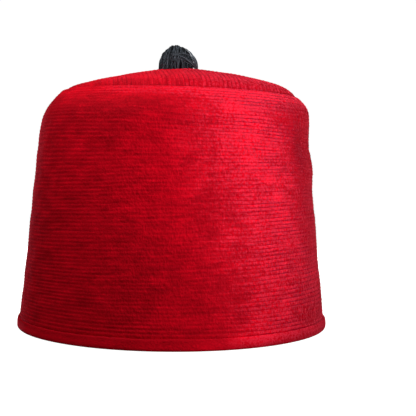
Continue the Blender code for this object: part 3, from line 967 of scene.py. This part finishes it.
def loose_strands(dice):
    """Strands that have sprung loose at the right of the folded head, and join it at the fold."""
    strands = []
    for _ in range(LOOSE_STRANDS):
        angle = dice.uniform(-0.5, 0.4)
        size = dice.uniform(1.03, 1.20)
        fold = dice.uniform(2.0, 3.4)
        points = []
        for index in range(len(STOPS)):
            share = index / (len(STOPS) - 1)
            lift = 1 + (size - 1) * math.cos(math.pi / 2 * share)
            points.append(in_bundle(fold * share, angle + 0.15 * fold * share, lift,
                                    past_end(index, 0.0)))
        # Painted glints: the loose strands are given the lightest tone
        strands.append((points, dice.uniform(0.6, 0.9), 1.0))
    return strands


def lay_tassel():
    """Tassel: a few hundred strands in twelve locks round a thick dark middle, some that arch
    across the front of the folded head, and a few that have sprung loose beside it."""
    bare_hands()
    dice = random.Random(8)
    strands = core_strands() + lock_strands(dice) + arched_strands(dice) + loose_strands(dice)
    curve = bpy.data.curves.new("tassel_strands", "CURVE")
    curve.dimensions = "3D"
    curve.bevel_depth = STRAND_RADIUS
    curve.bevel_resolution = 0
    curve.use_fill_caps = True
    for points, thickness, _ in strands:
        lay_strand(curve, points, thickness)
    bundle = bpy.data.objects.new("tassel_strands", curve)
    bpy.context.scene.collection.objects.link(bundle)
    bpy.context.view_layer.objects.active = bundle
    bundle.select_set(True)
    bpy.ops.object.convert(target="MESH")
    piece = bpy.context.object
    on_strand = len(piece.data.vertices) // len(strands)
    tone_and_painted_light = piece.data.attributes.new("strand_tone_and_painted_light", "FLOAT", "POINT")
    tone_and_painted_light.data.foreach_set("value", [strands[index // on_strand][2]
                                     for index in range(len(piece.data.vertices))])
    finish(piece, (tassel_rayon,), "tassel")


# ---------------------------------------------------------------- the hat

side_velvet = velvet("red_cotton_velvet_side", light="#e0041c", dark="#a60212",
                     stitched="#90031a", along_x=True, tuft_height=ROW_TUFT_HEIGHT)
top_velvet = velvet("red_cotton_velvet_top", light="#e0041c", dark="#a60212",
                    stitched="#7e0210", along_x=False)
hem_velvet = velvet("red_cotton_velvet_binding", light="#dc041c", dark="#a60212",
                    stitched=None, along_x=True)
backing_cloth = backing("dark_red_cotton_backing")
tassel_rayon = rayon("black_viscose_rayon")

quilt_side()
quilt_top()
bind_hem()
lay_tassel()


# ---------------------------------------------------------------- stage, light and camera

def cove():
    """White studio floor that curves up into a wall all round."""
    rings = [(0.02, -0.0002), (1.0, -0.0002), (2.6, -0.0002), (3.2, 0.12), (3.5, 0.5), (3.6, 1.4),
             (3.5, 3.2), (2.4, 4.4), (0.4, 4.9)]
    segments = 48
    piece = draw_rings("studio_cove", rings, segments)
    pick(piece, lambda point: point.index < segments)
    bpy.ops.mesh.edge_face_add()
    bpy.ops.mesh.select_all(action="SELECT")
    bpy.ops.mesh.normals_make_consistent(inside=True)
    put_down()
    # Matt white paper, lit evenly: it glows a little itself, so that it has no shadows
    paper = new_material("matt_white_paper", Base_Color=linear("#e0e0e0"), Roughness=1.0,
                         Specular_IOR_Level=0.0, Emission_Color=linear("#ffffff"),
                         Emission_Strength=0.95)[0]
    piece.data.materials.append(paper)
    piece.visible_diffuse = False
    piece.visible_glossy = False
    piece.visible_transmission = False
    piece.visible_shadow = False


def softbox(name, place, aim, size, power):
    """Flat lamp of a width and a height in metres."""
    light = bpy.data.lights.new(name, "AREA")
    light.shape = "RECTANGLE"
    light.size, light.size_y = size
    light.energy = power
    lamp = bpy.data.objects.new(name, light)
    bpy.context.scene.collection.objects.link(lamp)
    lamp.location = place
    lamp.rotation_euler = (Vector(aim) - Vector(place)).to_track_quat("-Z", "Y").to_euler()
    lamp.visible_camera = False


bare_hands()
cove()
# The key light stands close by at the right of the front; the others fill in, one from behind
softbox("key_strip", (0.116, -0.161, 0.165), (0.0, 0.0, 0.16), (0.05, 0.20), 0.245)
softbox("low_right", (0.19, -0.16, 0.05), (0.05, -0.06, 0.03), (0.06, 0.12), 0.12)
softbox("top_left", (-0.12, -0.10, 0.360), (0.0, 0.0, 0.10), (0.25, 0.25), 0.71)
softbox("front_high", (0.0, -0.50, 0.50), (0.0, 0.0, 0.09), (0.30, 0.30), 0.80)
softbox("behind", (0.0, 0.62, 0.11), (0.0, 0.0, 0.09), (0.40, 0.20), 2.5)

world = bpy.data.worlds.new("studio")
world.use_nodes = True
world.node_tree.nodes["Background"].inputs["Color"].default_value = (1, 1, 1, 1)
world.node_tree.nodes["Background"].inputs["Strength"].default_value = 0.09
bpy.context.scene.world = world
bpy.context.scene.view_settings.view_transform = "Standard"

# The photograph's view, from 55 cm in front of the hat's middle and a little over half its height
camera_data = bpy.data.cameras.new("camera")
camera_data.sensor_width = 36.0
camera_data.lens = 74.45
camera_data.shift_x = 0.087
camera_data.shift_y = -0.066
camera = bpy.data.objects.new("camera", camera_data)
bpy.context.scene.collection.objects.link(camera)
camera.location = (0.0, -0.550, 0.0906)
camera.rotation_euler = (math.pi / 2, -0.004, 0.0)
bpy.context.scene.camera = camera
